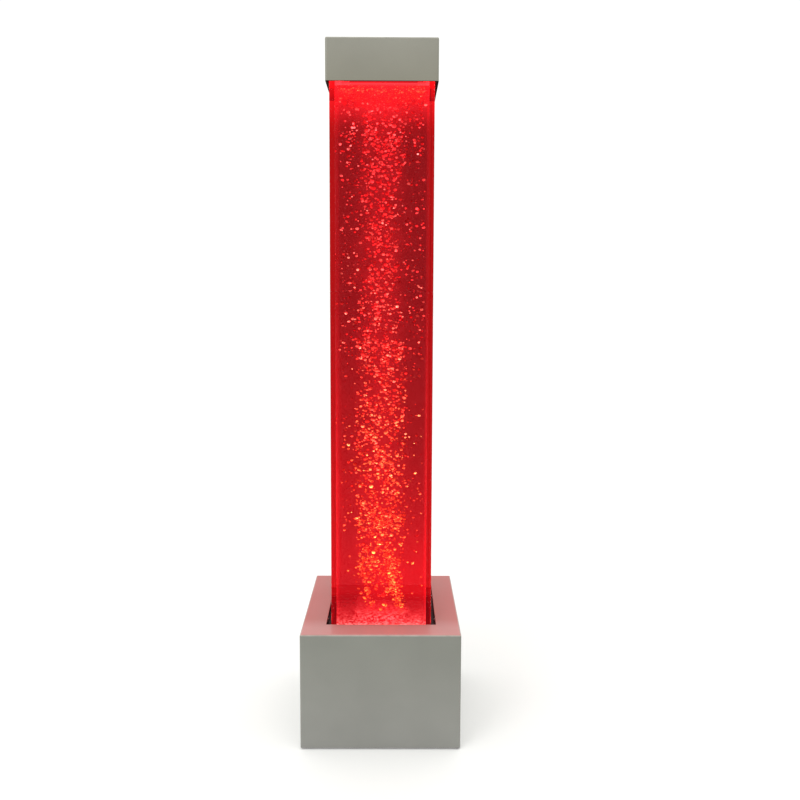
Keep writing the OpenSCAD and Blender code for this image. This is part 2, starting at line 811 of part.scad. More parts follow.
module service_bay()
    color("#3c3e40") difference() {
        union() {
            block([-bay_x, bay_x], [bay_back, flange_y + 1], bay_z);
            translate([0, base_half, (flange_z[0] + flange_z[1]) / 2]) rotate([90, 0, 0])
                linear_extrude(flange_t) square([bay_flange_w, flange_z[1] - flange_z[0]], center = true);
        }
        block([-bay_x + bay_wall, bay_x - bay_wall], [bay_face, base_half + 1],
              [bay_z[0] + bay_wall, bay_z[1] - bay_wall]);
        at_bay_screws() translate([0, base_half, 0]) rotate([90, 0, 0]) flush_hole(1.6, 3, flange_t + 1);
        at_switch() block([-10.3, 10.3], [bay_back - 1, bay_face + 1], [-6.6, 6.6]);
        translate([button_x, 0, button_z]) rod_y(6.1, bay_back - 1, bay_face + 1);
        translate([jack_x, 0, jack_z]) rod_y(5.6, bay_back - 1, bay_face + 1);
        at_tap() rod_y(7.1, bay_back - 1, bay_face + 1);
        for (i = [0 : vent_count - 1])
            block(vent_x, [bay_back - 1, bay_face + 1],
                  [vent_z + i * vent_pitch, vent_z + i * vent_pitch + 3]);
    }

module service_bay_screws()
    color("#a8abad") at_bay_screws()
        translate([0, base_half, 0]) rotate([90, 0, 0]) flush_screw(1.5, 3, 7);

module at_switch()
    translate([switch_x, 0, switch_z]) children();

module switch_body()
    color("#1c1c1c") at_switch() difference() {
        union() {
            block([-10.2, 10.2], [controls_back, bay_face + 1], [-6.5, 6.5]);
            block([-12, 12], [bay_face, bay_face + 2], [-8.5, 8.5]);
        }
        block([-9.2, 9.2], [bay_face - 8, bay_face + 3], [-5.6, 5.6]);
        translate([0, rocker_pivot_y, 0]) rod_z(1.2 + run, -6.3, 6.3);
        rod_y(lead_hole_r, controls_back - 1, controls_back + 2);
    }

// Tipped to ON at rest, and it tips the other way for OFF
module power_rocker()
    color("#b02024") at_switch() translate([0, rocker_pivot_y, 0]) rotate([0, 0, rocker_tilt]) {
        translate([0, 0, -5.4]) linear_extrude(10.8)
            polygon([[-8, 1], [-3, -3.5], [3, -3.5], [8, 1], [8.1, 4.4], [0, 3.1], [-8.1, 4.4]]);
        rod_z(1.2, -6.2, 6.2);
    }

module button_body()
    color("#c8ccd0") translate([button_x, 0, button_z]) difference() {
        union() {
            rod_y(6, controls_back, bay_face + 1);
            rod_y(8, bay_face, bay_face + 2);
        }
        rod_y(4.9, bay_face - 8, bay_face + 3);
        rod_y(lead_hole_r, controls_back - 1, controls_back + 2);
    }

// Chooses the colour; it springs back
module mode_button()
    color("#1c1c1c") translate([button_x, 0, button_z])
        rod_y(4.8, bay_face - 5, bay_face + 4);

module dc_jack()
    color("#1c1c1c") translate([jack_x, 0, jack_z]) {
        difference() {
            union() {
                rod_y(5.5, controls_back, bay_face + 1);
                rod_y(7.5, bay_face, bay_face + 2.5);
            }
            rod_y(3.2, bay_face - 8, bay_face + 3);
            rod_y(lead_hole_r, controls_back - 1, controls_back + 2);
        }
        rod_y(1.05, bay_face - 9, bay_face + 1);
    }

// ---- Control box and wiring ----

module control_case()
    color("#2e3032") difference() {
        block(control_x, control_y, control_z);
        block([control_x[0] + control_wall, control_x[1] - control_wall],
              [control_y[0] + control_wall, control_y[1] - control_wall],
              [control_z[0] + control_wall, control_z[1] + 1]);
        for (i = [0, 2, 3, 4])
            translate([lead_routes[i][0][0], 0, lead_routes[i][0][2]])
                rod_y(lead_hole_r, control_y[1] - 3, control_y[1] + 1);
        translate([0, pump_lead[0], pump_lead[1]]) rod_x(lead_hole_r, control_x[0] - 1, control_x[0] + 3);
    }

// Its lower step drops inside the case
module control_lid()
    color("#2e3032") {
        block(control_x, control_y, [control_z[1], control_z[1] + control_lid_t]);
        block([control_x[0] + control_wall + 0.1, control_x[1] - control_wall - 0.1],
              [control_y[0] + control_wall + 0.1, control_y[1] - control_wall - 0.1],
              [control_z[1] - 1.5, control_z[1] + 1]);
    }

module control_board()
    color("#2f7d46") {
        block([30, 94], [-78, -32], [control_z[0] + 2, control_z[0] + 3.6]);
        block([36, 52], [-72, -56], [control_z[0] + 3, control_z[0] + 16]);
        translate([66, -64, 0]) rod_z(5, control_z[0] + 3, control_z[0] + 17);
        translate([80, -64, 0]) rod_z(5, control_z[0] + 3, control_z[0] + 17);
        block([60, 84], [-48, -42], [control_z[0] + 3, control_z[0] + 10]);
    }

module leads()
    color("#d8d8d8")
        for (route = lead_routes) swept(smooth(route, lead_steps), lead_r);

// ---- Cap ----

module cap_shell()
    color("#9b9a8d") difference() {
        soft_box(cap_w, cap_z, cap_top, edge_r);
        slab(cap_inner, cap_z - 1, cap_top - cap_top_t);
    }

// Corner seats that stand on the tank's rim and keep the cap central
module cap_seats()
    color("#d6d6d2") difference() {
        in_corners(cap_inner - 15) slab(15, tank_top - 26, cap_top - cap_top_t);
        slab(tank_half + 0.5, tank_top - 27, tank_top);
        slab(tank_inner - 6, tank_top - 27, cap_top);
    }

base_shroud();
base_floor();
corner_blocks();
floor_screws();
rubber_feet();
platform_posts();
post_screws();
tank_platform();
tank_gasket();
tank_flange();
flange_bolts();
tank_front_wall();
tank_rear_wall();
tank_left_wall();
tank_right_wall();
tank_floor();
air_chamber();
water();
bubbles();
bulkhead_fittings();
bulkhead_seals();
bulkhead_nuts();
air_hoses();
check_valve_body();
check_valve_cap();
check_valve_poppet();
pump_case();
pump_lid();
pump_feet();
pump_core();
pump_coil();
pump_pivot_pin();
pump_arm();
pump_magnet();
pump_diaphragm();
pump_valve_box();
drain_hose();
drain_elbow();
drain_valve_body();
drain_spigot();
drain_ball();
drain_lever();
led_tray();
led_board();
led_chips();
led_cover();
led_tray_screws();
service_bay();
service_bay_screws();
switch_body();
power_rocker();
button_body();
mode_button();
dc_jack();
control_case();
control_lid();
control_board();
leads();
cap_shell();
cap_seats();
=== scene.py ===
import math
import random

import bmesh
import bpy
from mathutils import Euler, Matrix, Vector, noise


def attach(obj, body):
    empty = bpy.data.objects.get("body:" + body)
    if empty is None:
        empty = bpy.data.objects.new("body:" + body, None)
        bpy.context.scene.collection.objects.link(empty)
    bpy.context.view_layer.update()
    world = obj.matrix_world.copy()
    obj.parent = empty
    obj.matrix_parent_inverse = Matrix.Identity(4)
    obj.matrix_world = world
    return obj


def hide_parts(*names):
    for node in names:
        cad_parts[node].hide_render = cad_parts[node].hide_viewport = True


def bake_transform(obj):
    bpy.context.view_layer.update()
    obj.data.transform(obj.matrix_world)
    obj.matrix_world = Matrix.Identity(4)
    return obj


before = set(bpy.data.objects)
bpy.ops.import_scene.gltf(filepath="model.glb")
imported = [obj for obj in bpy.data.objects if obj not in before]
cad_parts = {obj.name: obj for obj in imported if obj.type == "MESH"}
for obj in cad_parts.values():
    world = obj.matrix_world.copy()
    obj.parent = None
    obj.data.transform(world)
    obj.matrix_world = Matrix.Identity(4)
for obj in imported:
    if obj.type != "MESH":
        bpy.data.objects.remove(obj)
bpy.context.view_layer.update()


# ---- Studio: the camera, the pale floor and the soft light ----
# The lamp is photographed from the front, a little above its middle, by a camera that looks slightly down.
# It stands on a plain pale floor in even white light, with one large soft light from the front left.

# The camera's place, turns and lens were fitted to the edges of the box, column and cap. The frame's
# middle lies LOWERED_PIXELS from the lens's axis, of FRAME_PIXELS in all.
CAMERA_AT = (0.0281, -1.5441, 0.8813)
CAMERA_TURN = math.radians(-0.313)
CAMERA_TILT = math.radians(90 - 5.069)
CAMERA_ROLL = math.radians(0.222)
LENS_MM = 33.44
FILM_MM = 36
FRAME_PIXELS = 800
LOWERED_PIXELS = -35

camera_data = bpy.data.cameras.new("studio_camera")
camera_data.sensor_width = FILM_MM
camera_data.sensor_fit = "HORIZONTAL"
camera_data.lens = LENS_MM
camera_data.shift_y = LOWERED_PIXELS / FRAME_PIXELS
camera = bpy.data.objects.new("studio_camera", camera_data)
camera.matrix_world = (
    Matrix.Translation(CAMERA_AT)
    @ Matrix.Rotation(CAMERA_TURN, 4, "Z")
    @ Matrix.Rotation(CAMERA_TILT, 4, "X")
    @ Matrix.Rotation(CAMERA_ROLL, 4, "Z")
)
bpy.context.scene.collection.objects.link(camera)
bpy.context.scene.camera = camera
bpy.context.scene.view_settings.view_transform = "Standard"


def linear(hex_colour):
    """The linear colour of an sRGB hex value, with full alpha."""
    parts = [int(hex_colour[i : i + 2], 16) / 255 for i in (1, 3, 5)]
    return (*[p / 12.92 if p <= 0.04045 else ((p + 0.055) / 1.055) ** 2.4 for p in parts], 1.0)


def put(tree, kind, inputs, **settings):
    """Adds a node with its settings. An input that is a socket is linked, and any other is set.
    A MapRange takes its value at 0, that value's range at 1 and 2, and what it becomes at 3 and 4.
    A colour Mix takes its share at 0 and its two colours at 6 and 7, and gives the mixture at 2."""
    node = tree.nodes.new("ShaderNode" + kind)
    for name, value in settings.items():
        setattr(node, name, value)
    for name, value in inputs.items():
        if isinstance(value, bpy.types.NodeSocket):
            tree.links.new(value, node.inputs[name])
        else:
            node.inputs[name].default_value = value
    return node


def blank(name):
    """A new material's node tree, with its output and the place on the object."""
    material = bpy.data.materials.new(name)
    material.use_nodes = True
    tree = material.node_tree
    tree.nodes.clear()
    output = put(tree, "OutputMaterial", {})
    place = put(tree, "TexCoord", {}).outputs["Object"]
    return material, tree, output, place


def made_into_piece(bm, name, *materials):
    """Turns a bmesh into an object at the origin, with its place in its mesh."""
    mesh = bpy.data.meshes.new(name)
    bm.to_mesh(mesh)
    bm.free()
    piece = bpy.data.objects.new(name, mesh)
    bpy.context.scene.collection.objects.link(piece)
    for material in materials:
        mesh.materials.append(material)
    return piece


# A light table's white acrylic: it glows a little, so the lamp's shadow on it stays faint. It reaches far
# enough to meet the white room without an edge.
TABLE_RADIUS = 40
TABLE_GLOW = 0.12

light_table, tree, output, place = blank("light_table_opal_acrylic")
cloudy = put(tree, "TexNoise", {"Vector": place, "Scale": 1.2, "Detail": 2.0})
tone = put(tree, "Mix", {0: cloudy.outputs[0], 6: linear("#f2f2f0"), 7: linear("#f8f8f7")}, data_type="RGBA")
opal = put(
    tree,
    "BsdfPrincipled",
    {
        "Base Color": tone.outputs[2],
        "Roughness": 0.85,
        "Specular IOR Level": 0.1,
        "Emission Color": linear("#ffffff"),
        "Emission Strength": TABLE_GLOW,
    },
)
tree.links.new(opal.outputs[0], output.inputs["Surface"])
bm = bmesh.new()
bmesh.ops.create_circle(bm, cap_ends=True, segments=96, radius=TABLE_RADIUS)
floor = made_into_piece(bm, "studio_floor", light_table)

ROOM_LIGHT = 1.06
world = bpy.data.worlds.new("even_white_room")
world.use_nodes = True
room = world.node_tree.nodes["Background"]
room.inputs["Color"].default_value = linear("#fffffd")
room.inputs["Strength"].default_value = ROOM_LIGHT
bpy.context.scene.world = world

# The soft light is a round cloth screen that faces the middle of the lamp.
KEY_AT = (-2.2, -2.6, 2.2)
KEY_WIDTH = 2.2
KEY_WATTS = 30
LAMP_MIDDLE = Vector((0, 0, 0.7))

key_data = bpy.data.lights.new("soft_key", "AREA")
key_data.shape = "DISK"
key_data.size = KEY_WIDTH
key_data.energy = KEY_WATTS
key = bpy.data.objects.new("soft_key", key_data)
key.location = KEY_AT
key.rotation_euler = (LAMP_MIDDLE - key.location).to_track_quat("-Z", "Y").to_euler()
bpy.context.scene.collection.objects.link(key)


# ---- Base box and cap: the two sprayed shells ----
# The base box and the cap are folded and glued sheet, filled, sanded and sprayed with a warm grey satin
# lacquer. The box slips over the works from above, and the cap rests on the tank's rim. The tank's red
# light lies on the box's top all round the opening.

BASE_HALF = 0.157
BASE_BOTTOM = 0.003
BASE_TOP = 0.233
HOLE_HALF = 0.110
CAP_HALF = 0.107
CAP_BOTTOM = 1.290
CAP_TOP = 1.370


def off_axis(tree, spot, which):
    """How far a point is from the two upright axis planes: the MINIMUM or the MAXIMUM of both."""
    x, y = (put(tree, "Math", {0: spot.outputs[i]}, operation="ABSOLUTE") for i in (0, 1))
    return put(tree, "Math", {0: x.outputs[0], 1: y.outputs[0]}, operation=which)


def sprayed_lacquer(name, low, high, half, bottom, top, lit_red):
    """Satin sprayed lacquer gives a soft, even sheen with a faint orange peel. It is cloudy by a few
    percent where the coats overlap, carries painted shading from its lower to its upper edge, and has a
    painted highlight a little lighter along the top edges. lit_red is true where the tank's light falls on
    its top."""
    material, tree, output, place = blank(name)
    spot = put(tree, "SeparateXYZ", {0: place})
    # Painted shading: the colour runs from low at the lower edge to high at the upper edge.
    up = put(tree, "MapRange", {0: spot.outputs[2], 1: bottom, 2: top})
    painted_shading = put(tree, "Mix", {0: up.outputs[0], 6: linear(low), 7: linear(high)}, data_type="RGBA")
    overlap = put(tree, "TexNoise", {"Vector": place, "Scale": 9.0, "Detail": 3.0})
    cloud = put(tree, "MapRange", {0: overlap.outputs[0], 1: 0.3, 2: 0.7, 3: 0.95, 4: 1.05})
    coats_and_shading = put(tree, "VectorMath", {0: painted_shading.outputs[2], "Scale": cloud.outputs[0]}, operation="SCALE")
    # A painted highlight, lighter in colour, lies 3.5 mm wide along the upper outer edges, and is strongest
    # in their last millimetre.
    highlight_band = 0.0035
    out = off_axis(tree, spot, "MAXIMUM")
    near_side = put(tree, "MapRange", {0: out.outputs[0], 1: half - highlight_band, 2: half - 0.001})
    near_top = put(tree, "MapRange", {0: spot.outputs[2], 1: top - highlight_band, 2: top - 0.0012})
    edge = put(tree, "Math", {0: near_side.outputs[0], 1: near_top.outputs[0]}, operation="MULTIPLY")
    highlight_and_shade_noise = put(tree, "TexNoise", {"Vector": place, "Scale": 60.0, "Detail": 4.0})
    painted_edge_highlight = put(tree, "Math", {0: edge.outputs[0], 1: highlight_and_shade_noise.outputs[0]}, operation="MULTIPLY")
    # Painted highlight: the colour is mixed towards a pale grey along the top edges, broken up by noise.
    colour = put(
        tree, "Mix", {0: painted_edge_highlight.outputs[0], 6: coats_and_shading.outputs[0], 7: linear("#c2c0b4")}, data_type="RGBA"
    )
    # Orange peel is about 1.5 mm from crest to crest, drawn at 3 mm so that it shows.
    peel = put(tree, "TexNoise", {"Vector": place, "Scale": 330.0, "Detail": 1.0})
    relief = put(tree, "Bump", {"Height": peel.outputs[0], "Strength": 0.12, "Distance": 0.0002})
    sheen = put(tree, "MapRange", {0: overlap.outputs[0], 1: 0.3, 2: 0.7, 3: 0.36, 4: 0.46})
    # The underside and the inside get a painted shade, near black and dull, which starts 3 mm in from the
    # sides and 4 mm down from the top, within the sheet's own thickness.
    faces = put(tree, "SeparateXYZ", {0: put(tree, "NewGeometry", {}).outputs["Normal"]})
    under = put(tree, "MapRange", {0: faces.outputs[2], 1: -0.6, 2: -0.95})
    hidden = put(tree, "MapRange", {0: out.outputs[0], 1: half - 0.0025, 2: half - 0.0035})
    below = put(tree, "MapRange", {0: spot.outputs[2], 1: top - 0.0035, 2: top - 0.0045})
    within = put(tree, "Math", {0: hidden.outputs[0], 1: below.outputs[0]}, operation="MULTIPLY")
    painted_shade_mask = put(tree, "Math", {0: under.outputs[0], 1: within.outputs[0]}, operation="MAXIMUM")
    finish = {"Base Color": colour.outputs[2], "Roughness": sheen.outputs[0], "Normal": relief.outputs[0]}
    if lit_red:
        # Red light lies on the level top and on the cut edge of the opening, down to 20 mm below the top.
        # It grows a little towards the outer edges, and is paler in front of the opening.
        level = put(tree, "MapRange", {0: faces.outputs[2], 1: 0.55, 2: 0.98})
        inside = put(tree, "MapRange", {0: out.outputs[0], 1: HOLE_HALF + 0.0005, 2: HOLE_HALF - 0.0005})
        facing = put(tree, "Math", {0: level.outputs[0], 1: inside.outputs[0]}, operation="MAXIMUM")
        upper = put(tree, "MapRange", {0: spot.outputs[2], 1: top - 0.020, 2: top - 0.010})
        lit = put(tree, "Math", {0: facing.outputs[0], 1: upper.outputs[0]}, operation="MULTIPLY")
        fade = put(tree, "MapRange", {0: out.outputs[0], 1: HOLE_HALF, 2: half, 3: 0.7, 4: 0.86})
        share = put(tree, "Math", {0: lit.outputs[0], 1: fade.outputs[0]}, operation="MULTIPLY")
        front = put(tree, "MapRange", {0: spot.outputs[1], 1: 0.025 - HOLE_HALF, 2: -0.015 - HOLE_HALF})
        hue = put(
            tree,
            "Mix",
            {0: front.outputs[0], 6: linear("#a86460"), 7: linear("#b88886")},
            data_type="RGBA",
        )
        rose = put(
            tree, "Mix", {0: share.outputs[0], 6: colour.outputs[2], 7: hue.outputs[2]}, data_type="RGBA"
        )
        red = linear("#cc4642")[:3]
        glow = put(tree, "VectorMath", {0: red, "Scale": share.outputs[0]}, operation="SCALE")
        finish.update({"Base Color": rose.outputs[2], "Emission Color": glow.outputs[0]})
        finish["Emission Strength"] = 0.3
    lacquer = put(tree, "BsdfPrincipled", finish)
    # Painted shade: a near-black, dull tone for the underside and inside, varied by noise.
    painted_shade_tone = put(
        tree, "Mix", {0: highlight_and_shade_noise.outputs[0], 6: linear("#140d0c"), 7: linear("#261b19")}, data_type="RGBA"
    )
    painted_shade_finish = put(
        tree, "BsdfPrincipled", {"Base Color": painted_shade_tone.outputs[2], "Roughness": 0.9, "Specular IOR Level": 0.05}
    )
    skin = put(tree, "MixShader", {0: painted_shade_mask.outputs[0], 1: lacquer.outputs[0], 2: painted_shade_finish.outputs[0]})
    tree.links.new(skin.outputs[0], output.inputs["Surface"])
    return material


def dress(material, *names):
    """Gives CAD nodes a material in every one of their slots."""
    for name in names:
        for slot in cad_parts[name].material_slots:
            slot.material = material


# The base box is a neutral warm grey, with painted shading that makes it a little darker at its top.
base_lacquer = sprayed_lacquer(
    "satin_sprayed_base_lacquer", "#858580", "#787a72", BASE_HALF, BASE_BOTTOM, BASE_TOP, lit_red=True
)
dress(base_lacquer, "base_shroud")
# The cap is a touch more yellow than the box, with painted shading that makes it a little lighter at its
# top.
cap_lacquer = sprayed_lacquer(
    "satin_sprayed_cap_lacquer", "#7b796c", "#85847a", CAP_HALF, CAP_BOTTOM, CAP_TOP, lit_red=False
)
dress(cap_lacquer, "cap_shell")


# ---- Floor board, corner blocks and feet ----
# A dark board closes the base box from below. It is screwed up into softwood blocks in the corners, and
# stands on four turned rubber feet, each held by a zinc-plated screw.


def plain_finish(name, deep, pale, grain_mm, rough, bump=0.1, metal=0.0, stretch=(1, 1, 1), coat=0.0):
    """A material with one grain: its colour, roughness and relief all follow a noise of that size, and
    patches of 25 mm make it uneven. rough gives the roughness in its hollows and on its crests, bump how
    strong the relief is, and stretch draws the grain out along the axes where it is below 1."""
    material, tree, output, place = blank(name)
    laid = put(tree, "Mapping", {0: place, 3: stretch})
    grain = put(tree, "TexNoise", {"Vector": laid.outputs[0], "Scale": 1000.0 / grain_mm, "Detail": 3.0})
    patches = put(tree, "TexNoise", {"Vector": place, "Scale": 40.0, "Detail": 3.0})
    both = put(tree, "Math", {0: grain.outputs[0], 1: patches.outputs[0]}, operation="MULTIPLY")
    spread = put(tree, "MapRange", {0: both.outputs[0], 1: 0.12, 2: 0.4})
    colour = put(tree, "Mix", {0: spread.outputs[0], 6: linear(deep), 7: linear(pale)}, data_type="RGBA")
    shine = put(tree, "MapRange", {0: spread.outputs[0], 3: rough[0], 4: rough[1]})
    relief = put(tree, "Bump", {"Height": grain.outputs[0], "Strength": bump, "Distance": grain_mm / 5000.0})
    skin = put(
        tree,
        "BsdfPrincipled",
        {
            "Base Color": colour.outputs[2],
            "Roughness": shine.outputs[0],
            "Normal": relief.outputs[0],
            "Metallic": metal,
            "Coat Weight": coat,
        },
    )
    tree.links.new(skin.outputs[0], output.inputs["Surface"])
    return material


# Dyed fibreboard: matt and almost black, with short fibres of about 3 mm.
dress(plain_finish("dyed_fibreboard", "#26241f", "#35322b", 3, (0.75, 0.9), bump=0.25), "base_floor")
# Planed spruce: pale, with grain lines drawn out along the upright blocks.
spruce = plain_finish("planed_spruce", "#b48a58", "#d6b483", 4, (0.5, 0.65), stretch=(1, 1, 0.06))
dress(spruce, "corner_blocks")
# Moulded rubber: matt black, and faintly grey where it has been handled.
dress(plain_finish("moulded_black_rubber", "#101010", "#1e1e1d", 2, (0.7, 0.88)), "rubber_feet", "pump_feet")
# Zinc plate: bright, slightly blue and blotchy, with drawn marks of about 1 mm.
zinc = plain_finish("zinc_plated_steel", "#9aa0a4", "#c4c7c6", 1, (0.28, 0.42), metal=1.0)
dress(zinc, "floor_screws", "post_screws", "flange_bolts", "led_tray_screws", "service_bay_screws")
dress(zinc, "pump_pivot_pin")


# ---- Posts, platform and flange ----
# Four turned aluminium posts carry a powder-coated steel platform. The tank stands on it on a rubber
# gasket, and a glued black acrylic flange round its foot is bolted down. All of it is below the box's top.

# Turned aluminium: fine rings from the tool, 0.3 mm apart, drawn at 1 mm up the post.
turned_bar = plain_finish(
    "turned_aluminium", "#8f9294", "#b9bbbc", 1, (0.25, 0.38), metal=1.0, stretch=(0.05, 0.05, 1)
)
dress(turned_bar, "platform_posts")
# Powder coat: black with an even 1 mm pebble, which stays dull in the gap round the tank.
dress(plain_finish("black_powder_coat", "#0c0c0d", "#151516", 1, (0.5, 0.65), bump=0.3), "tank_platform")
# Closed-cell rubber: dead matt, with the 1 mm dimples of its cut skin.
dress(plain_finish("closed_cell_rubber", "#111111", "#1a1a1a", 1, (0.85, 0.95), bump=0.4), "tank_gasket")
# Black acrylic, sawn and sanded: deep black, with its gloss taken off on the edges.
dress(plain_finish("sanded_black_acrylic", "#060506", "#0d0a0b", 2, (0.55, 0.7), bump=0.05), "tank_flange")


# ---- Tank: a square tube of clear acrylic sheet ----
# Four polished 10 mm sheets are bonded at the corners into a tube 200 mm square, in two lengths that
# meet in a fine glued joint. Light from below runs up inside the sheets, which glow red at their edges.

TANK_HALF = 0.100
TANK_INNER = 0.090
TANK_BOTTOM = 0.210
TANK_TOP = 1.340
LENGTHS_MEET = 0.896
ARRIS = 0.0009
GROOVE_HALF = 0.0009
GROOVE_DEPTH = 0.0004
WALL_GLOW = 0.6


def red_light(tree, height, marks, share):
    """The lamps' red light at a height, from marks of height and colour, times a share."""
    low, high = marks[0][0], marks[-1][0]
    up = put(tree, "MapRange", {0: height, 1: low, 2: high})
    ramp = put(tree, "ValToRGB", {0: up.outputs[0]})
    stops = ramp.color_ramp.elements
    while len(stops) < len(marks):
        stops.new(0.5)
    for stop, (z, colour) in zip(stops, marks):
        stop.position = (z - low) / (high - low)
        stop.color = [c * share for c in linear(colour)[:3]] + [1.0]
    return ramp.outputs[0]


wall_light = [
    (0.220, "#a01018"),
    (0.270, "#8c0e16"),
    (0.310, "#7c0e16"),
    (0.600, "#50060a"),
    (0.850, "#200204"),
    (1.210, "#280304"),
    (1.250, "#98141c"),
    (1.290, "#c01a22"),
    (1.300, "#ff3a40"),
    (1.340, "#ff3a40"),
]

# Polished cast acrylic is glass-clear with a hard gloss. Here it carries red light, so a long look
# through its edge is deep red, while its broad faces stay clear. Light from outside passes through it.
polished_acrylic, tree, output, place = blank("polished_cast_acrylic_lit_red")
spot = put(tree, "SeparateXYZ", {0: place})
light = red_light(tree, spot.outputs[2], wall_light, WALL_GLOW)
# The bonded corners carry more light: a soft line 4 mm wide on the inner faces, which fades on its way up.
nearer = off_axis(tree, spot, "MINIMUM")
farther = off_axis(tree, spot, "MAXIMUM")
at_bond = put(tree, "MapRange", {0: nearer.outputs[0], 1: TANK_INNER - 0.0055, 2: TANK_INNER - 0.0015})
on_inner = put(tree, "MapRange", {0: farther.outputs[0], 1: TANK_INNER + 0.001, 2: TANK_INNER + 0.0005})
bond = put(tree, "Math", {0: at_bond.outputs[0], 1: on_inner.outputs[0]}, operation="MULTIPLY")
faded = put(tree, "MapRange", {0: spot.outputs[2], 1: 0.55, 2: 0.85, 3: 1.0, 4: 0.15})
bond_light = put(tree, "Math", {0: bond.outputs[0], 1: faded.outputs[0]}, operation="MULTIPLY")
all_light = put(tree, "Mix", {0: bond_light.outputs[0], 6: light, 7: linear("#98141c")}, data_type="RGBA")
# Wiping leaves faint smears about 70 mm long on the polish.
smears = put(tree, "TexNoise", {"Vector": place, "Scale": 14.0, "Detail": 5.0})
gloss = put(tree, "MapRange", {0: smears.outputs[0], 1: 0.45, 2: 0.75, 3: 0.0, 4: 0.05})
acrylic = put(
    tree,
    "BsdfPrincipled",
    {
        "Base Color": linear("#fff6f6"),
        "Roughness": gloss.outputs[0],
        "IOR": 1.49,
        "Specular Tint": linear("#201818"),
        "Transmission Weight": 1.0,
        "Emission Color": all_light.outputs[2],
        "Emission Strength": 1.0,
    },
)
body = put(tree, "VolumeAbsorption", {"Color": (0.82, 0.0, 0.03, 1), "Density": 25.0})
tree.links.new(acrylic.outputs[0], output.inputs["Surface"])
tree.links.new(body.outputs[0], output.inputs["Volume"])

bm = bmesh.new()
rings = []
for half in (TANK_HALF, TANK_INNER):
    corners = [
        bm.verts.new((x * half, y * half, TANK_BOTTOM)) for x, y in ((-1, -1), (1, -1), (1, 1), (-1, 1))
    ]
    rings.append([bm.edges.new((corners[i], corners[(i + 1) % 4])) for i in range(4)])
rim = bmesh.ops.bridge_loops(bm, edges=rings[0] + rings[1])
pulled = bmesh.ops.extrude_face_region(bm, geom=rim["faces"])
bmesh.ops.translate(
    bm,
    verts=[v for v in pulled["geom"] if isinstance(v, bmesh.types.BMVert)],
    vec=(0, 0, TANK_TOP - TANK_BOTTOM),
)
bmesh.ops.recalc_face_normals(bm, faces=bm.faces)
upright = [
    e
    for e in bm.edges
    if abs(e.verts[0].co.z - e.verts[1].co.z) > 1 and abs(e.verts[0].co.x) > TANK_INNER + 0.001
]
bmesh.ops.bevel(
    bm,
    geom=upright,
    offset=ARRIS,
    offset_type="OFFSET",
    affect="EDGES",
    segments=2,
    profile=0.5,
    material=-1,
)
# The glued joint between the two lengths, as a fine groove all round the outside.
for z in (LENGTHS_MEET - GROOVE_HALF, LENGTHS_MEET, LENGTHS_MEET + GROOVE_HALF):
    whole = bm.verts[:] + bm.edges[:] + bm.faces[:]
    bmesh.ops.bisect_plane(bm, geom=whole, plane_co=(0, 0, z), plane_no=(0, 0, 1))
for v in bm.verts:
    if abs(v.co.z - LENGTHS_MEET) < 0.0002 and max(abs(v.co.x), abs(v.co.y)) > TANK_INNER + 0.001:
        v.co.x *= 1 - GROOVE_DEPTH / TANK_HALF
        v.co.y *= 1 - GROOVE_DEPTH / TANK_HALF
tank = made_into_piece(bm, "tank_tube", polished_acrylic)
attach(tank, "lamp")
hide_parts("tank_front_wall", "tank_rear_wall", "tank_left_wall", "tank_right_wall")


# ---- Tank floor, air chamber and light cover ----
# The tank's floor is a 12 mm clear sheet, sand-blasted so that it spreads the light of the board below.
# A clear dish stands upside down on it, bonded round its rim, with fine holes for the bubbles.


def lit_acrylic(name, deep, pale, grain_mm, strength):
    """Sand-blasted acrylic lit from below glows unevenly, in bright grains on a deeper red."""
    material, tree, output, place = blank(name)
    grain = put(tree, "TexNoise", {"Vector": place, "Scale": 1000.0 / grain_mm, "Detail": 4.0})
    speck = put(tree, "MapRange", {0: grain.outputs[0], 1: 0.42, 2: 0.66})
    colour = put(tree, "Mix", {0: speck.outputs[0], 6: linear(deep), 7: linear(pale)}, data_type="RGBA")
    relief = put(tree, "Bump", {"Height": grain.outputs[0], "Strength": 0.3, "Distance": grain_mm / 4000.0})
    frost = put(
        tree,
        "BsdfPrincipled",
        {
            "Base Color": linear("#b02028"),
            "Roughness": put(tree, "MapRange", {0: speck.outputs[0], 3: 0.55, 4: 0.4}).outputs[0],
            "Normal": relief.outputs[0],
            "Emission Color": colour.outputs[2],
            "Emission Strength": strength,
        },
    )
    tree.links.new(frost.outputs[0], output.inputs["Surface"])
    return material


# The grit is under 0.5 mm, drawn at 5 mm, as coarse as the photograph shows it through the water.
blasted = lit_acrylic("sand_blasted_acrylic_over_lamps", "#600810", "#f09c98", 5, 1.9)
dress(blasted, "tank_floor", "air_chamber")
# The opal cover glows a lighter, more even red, with a faint 2 mm mottle.
dress(lit_acrylic("opal_acrylic_light_cover", "#ff3038", "#ff5a50", 2, 1.4), "led_cover")


# ---- Water ----
# Still water fills the tank to just under the cap. It is clear, but lit by the red lamps below it reads
# as a deep red body, brightest at the bottom and under its rippled, frothy surface.

WATER_BOTTOM = 0.222
WATER_TOP = 1.288
WATER_HALF = 0.0899
WATER_GLOW = 0.6

water_light = [
    (0.222, "#60060c"),
    (0.268, "#70060c"),
    (0.290, "#b0080e"),
    (0.340, "#bc060c"),
    (0.430, "#9a0408"),
    (0.545, "#8c0406"),
    (0.700, "#7c0305"),
    (0.980, "#760304"),
    (1.180, "#700304"),
    (1.212, "#860508"),
    (1.248, "#b0080e"),
    (1.288, "#b00810"),
]

